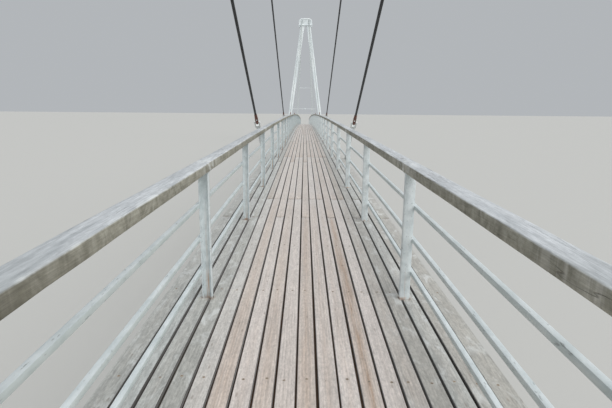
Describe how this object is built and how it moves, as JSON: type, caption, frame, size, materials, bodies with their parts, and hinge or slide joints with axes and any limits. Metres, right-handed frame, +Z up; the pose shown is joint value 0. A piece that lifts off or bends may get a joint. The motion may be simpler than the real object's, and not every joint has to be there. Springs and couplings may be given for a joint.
{
  "type": "cable-stayed footbridge, 1:10 scale model",
  "caption": "Scale model of a cable-stayed footbridge: cambered timber walkway with steel railings, stays to two A-shaped pylons, and concrete abutments and anchor blocks.",
  "frame": {"origin": "On the ground, half way between the pylons and on the walkway's centre line, at the bottom centre of the model's box", "axes": "+X to the right across the walkway, +Y along the walkway from the near end to the far end, +Z up"},
  "size_m": [0.7944, 16.24, 2.179],
  "materials": {
    "deck_timber": "weathered sawn boards, warm beige in the walked middle and grey at the sides",
    "handrail_timber": "silver-grey weathered timber with cracks and knots",
    "railing_steel": "galvanised, pale blue-grey, rust streaks at the posts",
    "frame_steel": "galvanised, dulled",
    "pylon_paint": "pale blue-white satin paint",
    "stay_cable": "dark steel strand with white-painted anchor tubes",
    "concrete": "cast concrete with water marks"
  },
  "bodies": {
    "root": {"deck_panel_1": "deck_timber", "deck_panel_2": "deck_timber", "deck_panel_3": "deck_timber", "deck_panel_4": "deck_timber", "deck_frame_near": "frame_steel", "deck_frame_middle": "frame_steel", "deck_frame_far": "frame_steel", "railing_left_near": "railing_steel", "railing_left_far": "railing_steel", "railing_right_near": "railing_steel", "railing_right_far": "railing_steel", "handrail_left_near": "handrail_timber", "handrail_left_far": "handrail_timber", "handrail_right_near": "handrail_timber", "handrail_right_far": "handrail_timber", "pylon_leg_near_left": "pylon_paint", "pylon_leg_near_right": "pylon_paint", "pylon_leg_far_left": "pylon_paint", "pylon_leg_far_right": "pylon_paint", "pylon_head_near": "pylon_paint", "pylon_head_far": "pylon_paint", "portal_tie_near": "pylon_paint", "portal_tie_far": "pylon_paint", "footing_near_left": "concrete", "footing_near_right": "concrete", "footing_far_left": "concrete", "footing_far_right": "concrete", "stay_near_left_1": "stay_cable", "stay_near_left_2": "stay_cable", "stay_near_left_3": "stay_cable", "stay_near_left_4": "stay_cable", "stay_near_right_1": "stay_cable", "stay_near_right_2": "stay_cable", "stay_near_right_3": "stay_cable", "stay_near_right_4": "stay_cable", "stay_far_left_1": "stay_cable", "stay_far_left_2": "stay_cable", "stay_far_left_3": "stay_cable", "stay_far_left_4": "stay_cable", "stay_far_right_1": "stay_cable", "stay_far_right_2": "stay_cable", "stay_far_right_3": "stay_cable", "stay_far_right_4": "stay_cable", "backstay_near_left": "pylon_paint", "backstay_near_right": "pylon_paint", "backstay_far_left": "pylon_paint", "backstay_far_right": "pylon_paint", "abutment_near": "concrete", "abutment_far": "concrete", "anchor_block_near": "concrete", "anchor_block_far": "concrete"}
  },
  "joints": []
}
